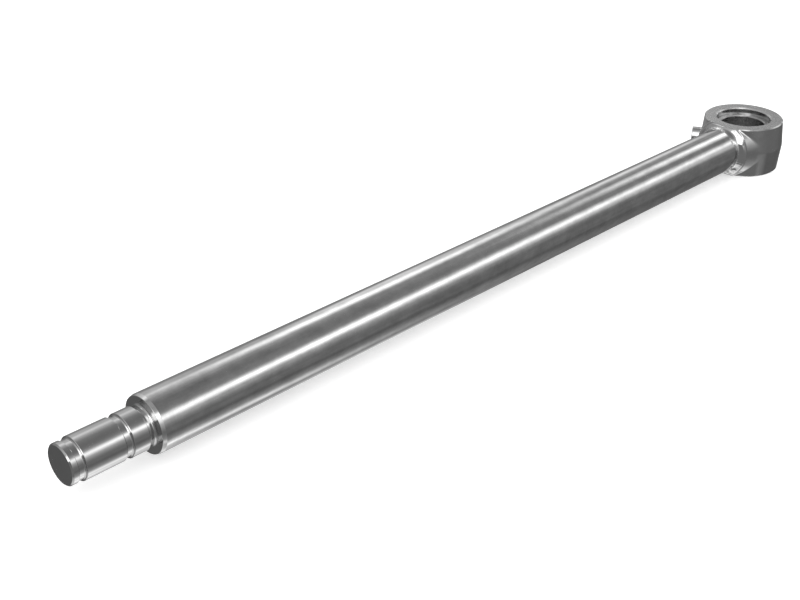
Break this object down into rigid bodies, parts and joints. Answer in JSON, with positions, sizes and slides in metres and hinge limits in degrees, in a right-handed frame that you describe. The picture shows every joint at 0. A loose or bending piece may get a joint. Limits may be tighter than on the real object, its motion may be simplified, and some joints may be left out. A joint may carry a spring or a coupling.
{
  "type": "hydraulic cylinder piston rod",
  "caption": "Chromed hydraulic piston rod with a turned piston spigot at one end and a welded-on forged eye with a pressed-in bush at the other.",
  "frame": {"origin": "centre of the eye's bore, midway between the eye's two faces", "axes": "+X along the bar from the eye to the piston spigot, +Z along the eye's bore, with the rod lying down and the bore upright"},
  "size_m": [0.6847, 0.0718, 0.0406],
  "materials": {
    "hard_chrome": "polished hard chrome on the bar, bright turned steel on the spigot",
    "forged_steel": "satin, forged sides with machined faces",
    "weld_metal": "bright weld metal with fine ripples",
    "bush_steel": "hardened and ground, satin",
    "plug_steel": "plain dark steel"
  },
  "bodies": {
    "root": {"rod_bar": "hard_chrome", "rod_eye": "forged_steel", "weld_bead": "weld_metal", "eye_bush": "bush_steel", "grease_plug": "plug_steel"}
  },
  "joints": []
}
